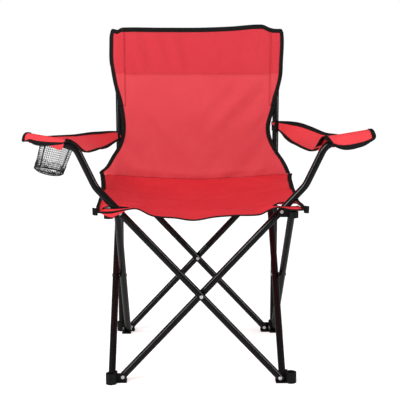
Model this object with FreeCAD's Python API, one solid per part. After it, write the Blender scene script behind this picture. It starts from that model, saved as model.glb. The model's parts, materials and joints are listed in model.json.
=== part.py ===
import FreeCAD, Part
import math
import os

# Folding quad camp chair, standing open. Millimetres, +Z up, the sitter faces -Y and +X is on
# the right of someone who looks at the front. The origin is the middle of the floor under it.

os.makedirs("parts", exist_ok=True)

# Driving dimensions
CORNER = 200.0          # the outer tubes' planes and the pole corners stand this far out
INNER_PLANE = 182.8     # the inner tubes' planes
RIVET_INSET = 25.0      # from a corner to the rivets beside it
FOOT_RIVET_Z = 12.0
HUB_RIVET_Z = 385.0

TUBE_R = 8.0
TUBE_WALL = 0.8
END_R = 8.2             # a tube's end is rounded to this about its rivet
RIVET_R = 2.5
RIVET_HOLE_R = 2.55
HEAD_R = 4.0
HEAD_T = 1.2
HEAD_GAP = 0.3          # between a rivet's head and the round tube that turns under it

PLATE_T = 3.5           # the moulded plates that the tubes turn against
PLATE_GAP = 0.3
GROOVE_GAP = 0.5
PLATE_NOSE_R = 9.0      # the plates are rounded about their rivets
BASE_T = 3.0            # the foot's floor plate

SOCKET_R = 12.0
SOCKET_TOP = 24.0
SOCKET_BORE_R = 8.1
SLEEVE_R = 10.5
SLEEVE_BORE_R = 8.3
SLEEVE_LOW = HUB_RIVET_Z - 12.0
SLEEVE_HIGH = HUB_RIVET_Z + 1.5
PIN_R = 1.5
PIN_HOLE_R = 1.55
PIN_Z = 14.0

POLE_TOP = 775.0
CAP_R = 8.4
CAP_T = 4.0
PLUG_LENGTH = 10.0
PLUG_GAP = 0.05

# The front tubes run on above the seat as armrest tubes: two bends, then nearly level
RISER_BEND_X = 227.5
RISER_BEND_R = 60.0
ELBOW = (270.0, 531.0)
ELBOW_R = 35.0
RISER_END = (358.0, 545.6)

CLOTH = 3.0             # thickness of the plain solids that stand for the cloth

SEAT_FRONT_Y = -218.0
SEAT_REAR_Y = 186.0
SEAT_HALF = 232.0
SEAT_FLAT_X = 170.0     # outboard of this the seat is level over the hubs
SEAT_FRONT_Z = 396.0
SEAT_REAR_Z = 402.0
SEAT_FRONT_SAG = 26.0
SEAT_REAR_SAG = 8.0
SEAT_SPLIT = 1.0        # half the gap between the two halves of the seat
SLOT_X = (165.0, 224.0)
SLOT_HALF = 10.5

BACK_FACE_Y = 187.0
BACK_HALF = 219.0
SLEEVE_SEAM_X = 187.0
BACK_TOP = 790.0
BACK_CORNER_TOP = 784.0
BACK_SPLIT_Z = 614.0
POCKET_BORE_R = 8.9

CUP_CENTRE = (-313.0, -149.0)
CUP_R = 36.5
CUP_WALL = 2.5
CUP_DEPTH = 75.0
CUP_TILT = 13.0         # degrees: it hangs square to the sloping armrest

RIVET_X = CORNER - RIVET_INSET
LEG_SPAN = 2.0 * RIVET_X
LEG_RISE = HUB_RIVET_Z - FOOT_RIVET_Z
LEG_ANGLE = math.atan2(LEG_SPAN, LEG_RISE)
CROSSING_Z = (FOOT_RIVET_Z + HUB_RIVET_Z) / 2.0

FACES = ["front", "right", "rear", "left"]
CORNERS = ["front_left", "front_right", "rear_right", "rear_left"]

UP = FreeCAD.Vector(0, 0, 1)
ALONG_X = FreeCAD.Vector(1, 0, 0)
ALONG_Y = FreeCAD.Vector(0, 1, 0)


def vec(x, y, z):
    return FreeCAD.Vector(x, y, z)


def turned(shape, quarter):
    """The shape turned about the chair's middle by a number of quarter turns."""
    copy = shape.copy()
    copy.rotate(vec(0, 0, 0), UP, 90.0 * quarter)
    return copy


def write(name, shape):
    if not shape.isValid() or shape.Volume <= 0.0:
        raise ValueError(f"{name} isn't a valid solid")
    shape.exportStep(f"parts/{name}.step")
    print(f"{name:26s} {len(shape.Solids)} solid, {shape.Volume / 1000.0:8.2f} cm3")


def box(x, y, z):
    """A box from three (low, high) pairs."""
    return Part.makeBox(x[1] - x[0], y[1] - y[0], z[1] - z[0], vec(x[0], y[0], z[0]))


def rod(start, end, radius):
    """A round bar from one point to another."""
    line = end - start
    return Part.makeCylinder(radius, line.Length, start, line)


def prism(points, axis_vector):
    """A straight prism on a closed outline."""
    return Part.Face(Part.makePolygon(points + points[:1])).extrude(axis_vector)


# Tubes -------------------------------------------------------------------------------------

def rounded_path(points, radii):
    """Straight runs through the points, joined by tangent arcs of the given radii."""
    edges = []
    start = points[0]
    for before, corner, after, radius in zip(points, points[1:], points[2:], radii):
        way_in = (corner - before).normalize()
        way_out = (after - corner).normalize()
        half_turn = way_in.getAngle(way_out) / 2.0
        reach = radius * math.tan(half_turn)
        arc_start = corner - way_in * reach
        arc_end = corner + way_out * reach
        inwards = (way_out - way_in).normalize()
        middle = corner + inwards * (radius / math.cos(half_turn) - radius)
        edges.append(Part.LineSegment(start, arc_start).toShape())
        edges.append(Part.Arc(arc_start, middle, arc_end).toShape())
        start = arc_end
    edges.append(Part.LineSegment(start, points[-1]).toShape())
    return Part.Wire(edges)


def swept(points, radii, radius):
    """A round section swept along a rounded path."""
    along = points[1] - points[0]
    section = Part.Wire(Part.makeCircle(radius, points[0], along))
    return rounded_path(points, radii).makePipeShell([section], True, False)


def tube(points, radii=()):
    """A hollow tube along a rounded path."""
    return swept(points, radii, TUBE_R).cut(swept(points, radii, TUBE_R - TUBE_WALL))


def round_end(bar, rivet, outwards):
    """Trims the end of a bar round its rivet, so that it turns inside its fitting."""
    across = vec(0, TUBE_R + 1.0, 0)
    keep = rod(rivet - across, rivet + across, END_R)
    reach = 3.0 * TUBE_R
    waste = Part.makeBox(2.0 * reach, 2.0 * reach, reach, vec(-reach, -reach, 0.0))
    waste.Placement = FreeCAD.Placement(rivet, FreeCAD.Rotation(UP, outwards))
    return bar.cut(waste.cut(keep))


def leg(plane_y, foot_x, top_x, beyond=(), radii=()):
    """A leg of the front face, from its foot rivet to its hub rivet and on to any more points."""
    foot = vec(foot_x, plane_y, FOOT_RIVET_Z)
    hub = vec(top_x, plane_y, HUB_RIVET_Z)
    way = (hub - foot).normalize()
    low_end = foot - way * TUBE_R
    points = [low_end] + (list(beyond) or [hub + way * TUBE_R])
    bar = round_end(swept(points, radii, TUBE_R), foot, way * -1.0)
    if not beyond:
        bar = round_end(bar, hub, way)
    shape = bar.cut(swept(points, radii, TUBE_R - TUBE_WALL))
    across = vec(0, TUBE_R + 1.0, 0)
    for centre in (foot, hub, (foot + hub) * 0.5):
        shape = shape.cut(rod(centre - across, centre + across, RIVET_HOLE_R))
    return shape


def riser_points(side, plane_y):
    """The bends and the end of an armrest tube; side is -1 on the left and 1 on the right."""
    bend_z = HUB_RIVET_Z + (RISER_BEND_X - RIVET_X) / math.tan(LEG_ANGLE)
    corners = [(RISER_BEND_X, bend_z), ELBOW, RISER_END]
    return [vec(side * x, plane_y, z) for x, z in corners]


riser_radii = (RISER_BEND_R, ELBOW_R)
front_outer_leg = leg(-CORNER, RIVET_X, -RIVET_X, riser_points(-1, -CORNER), riser_radii)
front_inner_leg = leg(-INNER_PLANE, -RIVET_X, RIVET_X, riser_points(1, -INNER_PLANE), riser_radii)
write("front_outer_leg", front_outer_leg)
write("front_inner_leg", front_inner_leg)

plain_outer_leg = leg(-CORNER, RIVET_X, -RIVET_X)
plain_inner_leg = leg(-INNER_PLANE, -RIVET_X, RIVET_X)
for quarter, face in enumerate(FACES[1:], start=1):
    write(f"{face}_outer_leg", turned(plain_outer_leg, quarter))
    write(f"{face}_inner_leg", turned(plain_inner_leg, quarter))


# Rivets and washers of the four crossings --------------------------------------------------

def rivet(head_start, direction, grip):
    """A rivet: a head, a shank that spans the grip, and the closed head on its far side."""
    shank = rod(head_start, head_start + direction * grip, RIVET_R)
    first = rod(head_start - direction * HEAD_T, head_start, HEAD_R)
    last = rod(head_start + direction * grip, head_start + direction * (grip + HEAD_T), HEAD_R)
    dome_edge = HEAD_T * 0.6
    body = shank.fuse(first).fuse(last).removeSplitter()
    rims = []
    for edge in body.Edges:
        at = (edge.BoundBox.Center - head_start).dot(direction)
        is_rim = abs(edge.Length - 2.0 * math.pi * HEAD_R) < 0.01
        if is_rim and (at < -HEAD_T + 0.01 or at > grip + HEAD_T - 0.01):
            rims.append(edge)
    return body.makeChamfer(dome_edge, rims)


crossing_start = vec(0, -CORNER - TUBE_R - HEAD_GAP, CROSSING_Z)
crossing_grip = CORNER - INNER_PLANE + 2.0 * TUBE_R + 2.0 * HEAD_GAP
crossing_rivet = rivet(crossing_start, ALONG_Y, crossing_grip)

washer_t = 0.8
washer_r = 6.0
washer_y = -(CORNER + INNER_PLANE) / 2.0 - washer_t / 2.0
washer_at = vec(0, washer_y, CROSSING_Z)
crossing_washer = rod(washer_at, washer_at + ALONG_Y * washer_t, washer_r)
crossing_washer = crossing_washer.cut(rod(washer_at - ALONG_Y, washer_at + ALONG_Y * 2.0, RIVET_HOLE_R))

for quarter, face in enumerate(FACES):
    write(f"{face}_crossing_rivet", turned(crossing_rivet, quarter))
    write(f"{face}_crossing_washer", turned(crossing_washer, quarter))


# Moulded feet and seat hubs, drawn at the front left corner ---------------------------------

plate_to = -RIVET_X + PLATE_NOSE_R
inner_plate = (-INNER_PLANE - TUBE_R - PLATE_GAP - PLATE_T, -INNER_PLANE - TUBE_R - PLATE_GAP)
outer_plate = (-CORNER + TUBE_R + PLATE_GAP, -CORNER + TUBE_R + PLATE_GAP + PLATE_T)
web_from = -197.0       # the plates start here, inside the wall of the corner barrel
plate_corner = -190.0


def upright_plate(across, along, bottom, rivet_z):
    """A plate across X and along Y, with its far top corner rounded about the rivet."""
    far = along[1] - PLATE_NOSE_R
    block = box(across, (along[0], far), (bottom, rivet_z + PLATE_NOSE_R))
    low = box(across, (far, along[1]), (bottom, rivet_z))
    nose = rod(vec(across[0], far, rivet_z), vec(across[1], far, rivet_z), PLATE_NOSE_R)
    return block.fuse(low).fuse(nose)


def swapped(shape):
    """The shape mirrored across the corner's diagonal, so that X and Y change places."""
    return shape.mirror(vec(0, 0, 0), vec(1, -1, 0))


def barrel(radius, low, high):
    return Part.makeCylinder(radius, high - low, vec(-CORNER, -CORNER, low))


def foot():
    """One corner foot: a barrel for a pole, two plates for two tubes, and a flat sole."""
    for_outer = upright_plate(outer_plate, (web_from, plate_to), 0.0, FOOT_RIVET_Z)
    for_inner = swapped(upright_plate(inner_plate, (web_from, plate_to), 0.0, FOOT_RIVET_Z))
    sole_a = box((-208.0, outer_plate[1]), (-200.0, plate_to), (0.0, BASE_T))
    sole_b = box((-200.0, plate_to), (-198.0, -174.8), (0.0, BASE_T))
    body = barrel(SOCKET_R, 0.0, SOCKET_TOP).fuse([for_outer, for_inner, sole_a, sole_b])
    body = body.cut(barrel(SOCKET_BORE_R, BASE_T, SOCKET_TOP + 1.0))
    pin_hole = rod(vec(-CORNER, -220.0, PIN_Z), vec(-CORNER, -180.0, PIN_Z), PIN_HOLE_R)
    body = body.cut(pin_hole)
    return cut_rivet_holes(body, FOOT_RIVET_Z, foot_rivet_lines())


def hub():
    """One seat hub: a sliding sleeve for a pole and two plates for two tubes."""
    low = SLEEVE_LOW
    for_inner = upright_plate(inner_plate, (web_from, plate_to), low, HUB_RIVET_Z)
    for_outer = swapped(upright_plate(outer_plate, (web_from, plate_to), low, HUB_RIVET_Z))
    # Round the sleeve the plates are no higher than it is
    corner_x = (-CORNER - SLEEVE_R, plate_corner)
    clear_top = box(corner_x, corner_x, (SLEEVE_HIGH, HUB_RIVET_Z + PLATE_NOSE_R + 1.0))
    # A groove leaves room for an inner tube that runs on past the hub to an armrest
    groove_start = vec(-INNER_PLANE, -RIVET_X, HUB_RIVET_Z)
    groove_way = vec(0, -math.sin(LEG_ANGLE), math.cos(LEG_ANGLE))
    groove = rod(groove_start, groove_start + groove_way * 40.0, TUBE_R + GROOVE_GAP)
    plates = for_inner.fuse(for_outer).cut(clear_top).cut(groove)
    body = barrel(SLEEVE_R, low, SLEEVE_HIGH).fuse(plates)
    body = body.cut(barrel(SLEEVE_BORE_R, low - 1.0, SLEEVE_HIGH + 1.0))
    return cut_rivet_holes(body, HUB_RIVET_Z, hub_rivet_lines())


def foot_rivet_lines():
    """Start, direction and grip of a foot's two rivets, for the outer and the inner tube."""
    outer_start = -CORNER - TUBE_R - HEAD_GAP
    inner_end = -INNER_PLANE + TUBE_R + HEAD_GAP
    for_outer = (vec(outer_start, -RIVET_X, FOOT_RIVET_Z), ALONG_X, outer_plate[1] - outer_start)
    for_inner = (vec(-RIVET_X, inner_plate[0], FOOT_RIVET_Z), ALONG_Y, inner_end - inner_plate[0])
    return [for_outer, for_inner]


def hub_rivet_lines():
    """The same for a seat hub, where the two tubes' directions change places."""
    lines = []
    lift = vec(0, 0, HUB_RIVET_Z - FOOT_RIVET_Z)
    for start, direction, grip in foot_rivet_lines():
        lines.append((vec(start.y, start.x, start.z) + lift, vec(direction.y, direction.x, 0), grip))
    return lines


def cut_rivet_holes(body, height, lines):
    for start, direction, grip in lines:
        body = body.cut(rod(start - direction * 2.0, start + direction * (grip + 2.0), RIVET_HOLE_R))
    return body


def rivet_pair(lines):
    return Part.makeCompound([rivet(start, direction, grip) for start, direction, grip in lines])


foot_shape = foot()
hub_shape = hub()
foot_rivets = rivet_pair(foot_rivet_lines())
hub_rivets = rivet_pair(hub_rivet_lines())
for quarter, corner in enumerate(CORNERS):
    write(f"{corner}_foot", turned(foot_shape, quarter))
    write(f"{corner}_hub", turned(hub_shape, quarter))
    write(f"{corner}_foot_rivets", turned(foot_rivets, quarter))
    write(f"{corner}_hub_rivets", turned(hub_rivets, quarter))


# Back poles, their caps and the pins that hold them in the rear feet ------------------------

def end_cap(end, way):
    """A plastic cap on a tube's end, with a plug inside the tube."""
    plug = rod(end - way * PLUG_LENGTH, end, TUBE_R - TUBE_WALL - PLUG_GAP)
    head = rod(end, end + way * CAP_T, CAP_R)
    rim = [edge for edge in head.Edges if (edge.BoundBox.Center - end).dot(way) > CAP_T - 0.01]
    return head.makeFillet(CAP_T * 0.5, rim).fuse(plug)


pole_low = BASE_T + 0.2
for side, quarter, name in ((-1, 3, "left"), (1, 2, "right")):
    low = vec(side * CORNER, CORNER, pole_low)
    high = vec(side * CORNER, CORNER, POLE_TOP)
    pin_way = ALONG_X if side < 0 else ALONG_Y
    pin_middle = vec(side * CORNER, CORNER, PIN_Z)
    pin_reach = pin_way * (SOCKET_R + 1.0)
    hole = rod(pin_middle - pin_way * 20.0, pin_middle + pin_way * 20.0, PIN_HOLE_R)
    write(f"{name}_back_pole", tube([low, high]).cut(hole))
    write(f"{name}_pole_cap", end_cap(high, UP))
    write(f"{name}_pole_pin", rod(pin_middle - pin_reach, pin_middle + pin_reach, PIN_R))

for side, plane, name in ((-1, -CORNER, "left"), (1, -INNER_PLANE, "right")):
    elbow, end = riser_points(side, plane)[-2:]
    write(f"{name}_arm_tube_cap", end_cap(end, (end - elbow).normalize()))


# Seat: two halves of one sling, level over the hubs and sagging between them ----------------

def seat_profile(y):
    """A closed outline across the seat at one depth, CLOTH thick."""
    along = (y - SEAT_FRONT_Y) / (SEAT_REAR_Y - SEAT_FRONT_Y)
    side_z = SEAT_FRONT_Z + (SEAT_REAR_Z - SEAT_FRONT_Z) * along
    sag = SEAT_FRONT_SAG + (SEAT_REAR_SAG - SEAT_FRONT_SAG) * along
    edges = []
    for lift, way in ((0.0, 1), (CLOTH, -1)):
        z = side_z + lift
        edges.append(Part.LineSegment(vec(-way * SEAT_HALF, y, z), vec(-way * SEAT_FLAT_X, y, z)))
        edges.append(
            Part.Arc(vec(-way * SEAT_FLAT_X, y, z), vec(0, y, z - sag), vec(way * SEAT_FLAT_X, y, z))
        )
        edges.append(Part.LineSegment(vec(way * SEAT_FLAT_X, y, z), vec(way * SEAT_HALF, y, z)))
        edges.append(
            Part.LineSegment(vec(way * SEAT_HALF, y, z), vec(way * SEAT_HALF, y, z + way * CLOTH))
        )
    return Part.Wire([edge.toShape() for edge in edges])


def seat_half(y_from, y_to):
    return Part.makeLoft([seat_profile(y_from), seat_profile(y_to)], True, True)


def riser_slot(side, plane_y):
    x = sorted((side * SLOT_X[0], side * SLOT_X[1]))
    return box(x, (plane_y - SLOT_HALF, plane_y + SLOT_HALF), (SEAT_FRONT_Z - 30.0, SEAT_REAR_Z + 30.0))


seat_front = seat_half(SEAT_FRONT_Y, -SEAT_SPLIT)
for side, plane in ((-1, -CORNER), (1, -INNER_PLANE)):
    seat_front = seat_front.cut(riser_slot(side, plane))
write("seat_front_panel", seat_front)
write("seat_rear_panel", seat_half(SEAT_SPLIT, SEAT_REAR_Y))


# Back: an hourglass lower panel, and an upper panel with a sleeve over each pole ------------

def mirrored_outline(half_points):
    """A left-right symmetric outline from the points of its right half, bottom to top."""
    right = [vec(x, BACK_FACE_Y, z) for x, z in half_points]
    left = [vec(-x, BACK_FACE_Y, z) for x, z in reversed(half_points)]
    return right + left


lower_half = [
    (236.0, 407.0),
    (250.0, 420.0),
    (212.0, 462.0),
    (190.0, 492.0),
    (180.0, 530.0),
    (183.0, 560.0),
    (191.0, 590.0),
    (198.0, BACK_SPLIT_Z - 1.0),
]
write("back_lower_panel", prism(mirrored_outline(lower_half), ALONG_Y * CLOTH))

upper_half = [(SLEEVE_SEAM_X + 1.0, BACK_SPLIT_Z), (SLEEVE_SEAM_X + 1.0, BACK_TOP)]
back_upper = prism(mirrored_outline(upper_half), ALONG_Y * CLOTH)
for side in (-1, 1):
    # Round the pole and drawn out flat to the bound edge
    ring = Part.makeCylinder(11.0, BACK_CORNER_TOP - BACK_SPLIT_Z, vec(side * CORNER, CORNER, BACK_SPLIT_Z))
    outline = [
        vec(side * SLEEVE_SEAM_X, BACK_FACE_Y, BACK_SPLIT_Z),
        vec(side * CORNER, CORNER - 11.0, BACK_SPLIT_Z),
        vec(side * BACK_HALF, CORNER - 1.5, BACK_SPLIT_Z),
        vec(side * BACK_HALF, CORNER + 1.5, BACK_SPLIT_Z),
        vec(side * CORNER, CORNER + 11.0, BACK_SPLIT_Z),
        vec(side * SLEEVE_SEAM_X, BACK_FACE_Y + CLOTH, BACK_SPLIT_Z),
    ]
    sleeve = prism(outline, UP * (BACK_CORNER_TOP - BACK_SPLIT_Z)).fuse(ring)
    bore_top = POLE_TOP + CAP_T + 1.0
    bore_low = BACK_SPLIT_Z - 1.0
    bore = Part.makeCylinder(POCKET_BORE_R, bore_top - bore_low, vec(side * CORNER, CORNER, bore_low))
    back_upper = back_upper.fuse(sleeve).cut(bore)
write("back_upper_panel", back_upper)


# Armrests: a strip from a loop on the pole to a pocket on the end of the armrest tube -------

def strip_section(side, y, outer, inner):
    """A thin four-sided section of the strip between its outer and its inner edge."""
    edge = vec(outer[0] - inner[0], 0, outer[1] - inner[1]).normalize()
    drop = vec(-edge.z, 0, edge.x) * (CLOTH / 2.0)
    a = vec(outer[0], y, outer[1])
    b = vec(inner[0], y, inner[1])
    corners = [a + drop, b + drop, b - drop, a - drop]
    points = [vec(side * p.x, p.y, p.z) for p in corners]
    return Part.makePolygon(points + points[:1])


def armrest(side, plane_y, stations, loop_z):
    sections = [strip_section(side, y, outer, inner) for y, outer, inner in stations]
    strip = None
    for near, far in zip(sections, sections[1:]):
        piece = Part.makeLoft([near, far], True, True)
        strip = piece if strip is None else strip.fuse(piece)
    elbow, end = riser_points(side, plane_y)[-2:]
    way = (end - elbow).normalize()
    pocket_start = elbow + way * 24.0
    pocket_end = end + way * (CAP_T + 4.0)
    bore_end = end + way * (CAP_T + 1.0)
    pocket = rod(pocket_start, pocket_end, POCKET_BORE_R + 2.5)
    loop_centre = vec(side * CORNER, CORNER, loop_z[0])
    loop_height = loop_z[1] - loop_z[0]
    loop = Part.makeCylinder(POCKET_BORE_R + 2.1, loop_height, loop_centre)
    shape = strip.fuse([pocket, loop])
    shape = shape.cut(rod(pocket_start - way * 5.0, bore_end, POCKET_BORE_R))
    return shape.cut(Part.makeCylinder(POCKET_BORE_R, loop_height + 20.0, loop_centre - UP * 10.0))


left_stations = [
    (-193.0, (376.0, 557.0), (279.0, 541.0)),
    (-110.0, (360.0, 543.0), (250.0, 514.0)),
    (0.0, (302.0, 536.0), (227.0, 503.0)),
    (100.0, (252.0, 534.0), (215.0, 500.0)),
    (193.0, (207.5, 530.5), (206.0, 497.5)),
]
right_stations = [
    (-176.0, (374.0, 557.0), (279.0, 541.0)),
    (-110.0, (352.0, 545.0), (248.0, 512.0)),
    (0.0, (303.0, 543.0), (231.0, 509.0)),
    (100.0, (254.0, 555.0), (211.0, 517.0)),
    (193.0, (207.5, 556.0), (206.0, 526.0)),
]
left_armrest = armrest(-1, -CORNER, left_stations, (496.0, 532.0))
right_armrest = armrest(1, -INNER_PLANE, right_stations, (524.0, 556.0))


# Net cup holder under a round hole in the left armrest --------------------------------------

cup_way = vec(-math.sin(math.radians(CUP_TILT)), 0, -math.cos(math.radians(CUP_TILT)))
cup_top = vec(CUP_CENTRE[0], CUP_CENTRE[1], 533.0)
cup_rim = cup_top + cup_way * 5.5
cup_floor = cup_rim + cup_way * (CUP_DEPTH - CUP_WALL)
cup_holder = rod(cup_rim, cup_rim + cup_way * CUP_DEPTH, CUP_R)
cup_holder = cup_holder.cut(rod(cup_rim - cup_way, cup_floor, CUP_R - CUP_WALL))
write("cup_holder", cup_holder)

cup_hole = rod(cup_top - cup_way * 20.0, cup_top + cup_way * 20.0, CUP_R - CUP_WALL)
write("left_armrest", left_armrest.cut(cup_hole))
write("right_armrest", right_armrest)
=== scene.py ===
# %% [markdown]
# # A folding camp chair
#
# The chair is a frame of steel tubes that closes like an umbrella, with a sling of red cloth
# hung on it. The frame was designed elsewhere and is loaded here as it is: every tube, rivet and
# moulding is already in place, in metres. This lesson sews the cloth on and gives each surface
# its finish. The plain blocks that stood for cloth in the design are hidden, and sewn pieces
# replace them.

# %% Load the frame
import bisect
import json
import math

import bmesh
import bpy
from mathutils import Matrix, Vector, noise


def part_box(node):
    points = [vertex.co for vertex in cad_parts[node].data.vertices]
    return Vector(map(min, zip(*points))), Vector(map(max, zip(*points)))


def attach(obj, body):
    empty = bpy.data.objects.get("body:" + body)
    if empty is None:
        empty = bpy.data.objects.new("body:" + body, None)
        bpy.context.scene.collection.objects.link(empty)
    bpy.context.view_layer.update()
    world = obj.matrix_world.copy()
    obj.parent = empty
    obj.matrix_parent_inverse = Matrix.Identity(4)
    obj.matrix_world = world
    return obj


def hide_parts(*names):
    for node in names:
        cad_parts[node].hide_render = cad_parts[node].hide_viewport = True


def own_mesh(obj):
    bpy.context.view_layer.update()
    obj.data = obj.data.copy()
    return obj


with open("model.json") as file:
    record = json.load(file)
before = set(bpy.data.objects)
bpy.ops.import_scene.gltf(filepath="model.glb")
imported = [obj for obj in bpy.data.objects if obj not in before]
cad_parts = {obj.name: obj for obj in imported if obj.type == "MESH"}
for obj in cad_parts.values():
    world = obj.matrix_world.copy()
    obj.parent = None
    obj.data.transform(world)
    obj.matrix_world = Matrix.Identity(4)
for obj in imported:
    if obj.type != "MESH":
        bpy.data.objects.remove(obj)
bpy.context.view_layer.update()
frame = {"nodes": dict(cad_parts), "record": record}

# %% [markdown]
# ## The view
#
# The chair is seen from the front, from a little above the backrest and a step away, with a
# long lens that keeps the verticals upright. The camera comes first because everything after
# it is judged through it.

# %% Camera
camera_data = bpy.data.cameras.new("camera")
camera_data.sensor_width = 36.0
camera_data.lens = 83.35
camera = bpy.data.objects.new("camera", camera_data)
camera.location = (-0.049, -2.1717, 0.7292)
camera.rotation_euler = (math.radians(80.875), 0.0, math.radians(-1.339))
bpy.context.scene.collection.objects.link(camera)
bpy.context.scene.camera = camera
print("camera", tuple(round(n, 3) for n in camera.location))

# %% [markdown]
# ## The studio
#
# A pale floor and a bright plain room make the soft light of a catalogue picture. Gloss needs
# something to reflect, so two tall lights stand left and right of the chair and draw the thin
# bright lines along its tubes, and a broad one at the upper left is the key. The Standard view keeps the reds
# as strong as they are set; the other views wash them out.

# %% Floor, room and lights
FLOOR_HALF = 9.0
ROOM_LIGHT = 0.74
GLOSS_LIGHT = 0.20
LIGHT_AIM = Vector((0.0, 0.0, 0.42))

floor_mesh = bmesh.new()
bmesh.ops.create_grid(floor_mesh, x_segments=1, y_segments=1, size=FLOOR_HALF)
floor_data = bpy.data.meshes.new("floor")
floor_mesh.to_mesh(floor_data)
floor_mesh.free()
floor = bpy.data.objects.new("floor", floor_data)
bpy.context.scene.collection.objects.link(floor)

floor_paint = bpy.data.materials.new("floor_paint")
floor_paint.use_nodes = True
floor_shader = floor_paint.node_tree.nodes["Principled BSDF"]
floor_shader.inputs["Base Color"].default_value = (0.80, 0.80, 0.80, 1.0)
floor_shader.inputs["Emission Color"].default_value = (1.0, 1.0, 1.0, 1.0)
floor_shader.inputs["Emission Strength"].default_value = 0.43
floor_shader.inputs["Roughness"].default_value = 0.9
floor_shader.inputs["Specular IOR Level"].default_value = 0.0
floor_data.materials.append(floor_paint)

# Gloss sees a darker floor and room than the eye does, as in a studio whose walls are far away,
# so that black stays black beside the reflections of the softboxes
GLOSS_FLOOR = (0.26, 0.26, 0.26, 1.0)
floor_path = floor_paint.node_tree.nodes.new("ShaderNodeLightPath")
for socket in ("Base Color", "Emission Color"):
    seen = floor_paint.node_tree.nodes.new("ShaderNodeMix")
    seen.data_type = "RGBA"
    seen.inputs[6].default_value = floor_shader.inputs[socket].default_value
    seen.inputs[7].default_value = GLOSS_FLOOR
    floor_paint.node_tree.links.new(floor_path.outputs["Is Glossy Ray"], seen.inputs[0])
    floor_paint.node_tree.links.new(seen.outputs[2], floor_shader.inputs[socket])

world = bpy.data.worlds.new("studio")
world.use_nodes = True
backdrop = world.node_tree.nodes["Background"]
backdrop.inputs["Color"].default_value = (1.0, 1.0, 1.0, 1.0)
# Seen directly the room is white, but it lights the chair with less than that, so that the
# softboxes can model the folds of the cloth
light_path = world.node_tree.nodes.new("ShaderNodeLightPath")
lit = world.node_tree.nodes.new("ShaderNodeMapRange")
lit.inputs["To Min"].default_value = ROOM_LIGHT
lit.inputs["To Max"].default_value = GLOSS_LIGHT
strength = world.node_tree.nodes.new("ShaderNodeMapRange")
strength.inputs["To Max"].default_value = 1.0
for source, target in (
    (light_path.outputs["Is Glossy Ray"], lit.inputs["Value"]),
    (lit.outputs["Result"], strength.inputs["To Min"]),
    (light_path.outputs["Is Camera Ray"], strength.inputs["Value"]),
    (strength.outputs["Result"], backdrop.inputs["Strength"]),
):
    world.node_tree.links.new(source, target)
bpy.context.scene.world = world
bpy.context.scene.view_settings.view_transform = "Standard"


def area_light(name, place, size, watts):
    data = bpy.data.lights.new(name, "AREA")
    data.shape = "RECTANGLE"
    data.size, data.size_y = size
    data.energy = watts
    light = bpy.data.objects.new(name, data)
    light.location = place
    light.rotation_euler = (LIGHT_AIM - Vector(place)).to_track_quat("-Z", "Y").to_euler()
    bpy.context.scene.collection.objects.link(light)


area_light("left_softbox", (-2.2, -1.5, 1.2), (0.34, 1.9), 30.0)
area_light("right_softbox", (2.4, -1.1, 1.1), (0.34, 1.9), 28.0)
area_light("key_softbox", (-1.3, -1.9, 2.0), (1.1, 1.1), 34.0)
print("floor, room and lights made")

# %% [markdown]
# ## Finishes, written as arithmetic
#
# A material is a graph of nodes, and shader maths is easier to read as an expression. Wire
# wraps one socket: adding or multiplying Wires adds the Math nodes. Finish owns one material,
# and its node method adds any other node. Cloth finishes read the cloth's own UV map, which
# every sewn piece stores in metres, so a thread is the same size on every panel. Metal and
# plastic read Object coordinates, because the frame's parts have no map.

# %% Wires and finishes
class Wire:
    """A socket of a finish. Arithmetic on it adds Math nodes."""

    def __init__(self, finish, socket):
        self.finish = finish
        self.socket = socket

    def maths(self, operation, first, second=0.0, clamp=False):
        settings = {"operation": operation, "use_clamp": clamp}
        return self.finish.node("Math", settings, {0: first, 1: second})

    def __add__(self, other):
        return self.maths("ADD", self, other)

    def __sub__(self, other):
        return self.maths("SUBTRACT", self, other)

    def __rsub__(self, other):
        return self.maths("SUBTRACT", other, self)

    def __mul__(self, other):
        return self.maths("MULTIPLY", self, other)

    __radd__ = __add__
    __rmul__ = __mul__

    def sine(self):
        return self.maths("SINE", self)

    def size(self):
        return self.maths("ABSOLUTE", self)

    def over(self, level):
        """1 above that level and 0 below."""
        return self.maths("GREATER_THAN", self, level)

    def limited(self):
        return self.maths("ADD", self, 0.0, clamp=True)


class Finish:
    """A material with one Principled shader, whose fixed values are set on its own sockets."""

    def __init__(self, name, **fixed):
        self.material = bpy.data.materials.new(name)
        self.material.use_nodes = True
        self.tree = self.material.node_tree
        self.shader = self.tree.nodes["Principled BSDF"]
        for socket, value in fixed.items():
            self.shader.inputs[socket.replace("_", " ")].default_value = value

    def feed(self, socket, value):
        if isinstance(value, Wire):
            self.tree.links.new(value.socket, socket)
        else:
            socket.default_value = value

    def node(self, kind, settings, inputs, output=0):
        added = self.tree.nodes.new("ShaderNode" + kind)
        for key, value in settings.items():
            setattr(added, key, value)
        for key, value in inputs.items():
            self.feed(added.inputs[key], value)
        return Wire(self, added.outputs[output])

    def set(self, socket, value):
        self.feed(self.shader.inputs[socket], value)

    def mix(self, factor, first, second):
        """A colour between two colours."""
        settings = {"data_type": "RGBA", "clamp_factor": True}
        return self.node("Mix", settings, {0: factor, 6: first, 7: second}, output=2)

    def object_place(self):
        return self.node("TexCoord", {}, {}, output=3)

    def cloth_place(self):
        return self.node("UVMap", {"uv_map": "UVMap"}, {})

    def split(self, vector):
        parts = self.tree.nodes.new("ShaderNodeSeparateXYZ")
        self.feed(parts.inputs[0], vector)
        return [Wire(self, out) for out in parts.outputs]

    def mottle(self, place, scale, detail=2.0):
        """Uneven noise from 0 to 1, so many patches to the metre."""
        return self.node("TexNoise", {}, {"Vector": place, "Scale": scale, "Detail": detail})

    def bump(self, height, depth):
        """Raises the surface by the height, which is from 0 to 1, times the depth in metres."""
        raised = self.node("Bump", {}, {"Height": height, "Distance": depth, "Strength": 1.0})
        self.set("Normal", raised)


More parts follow.
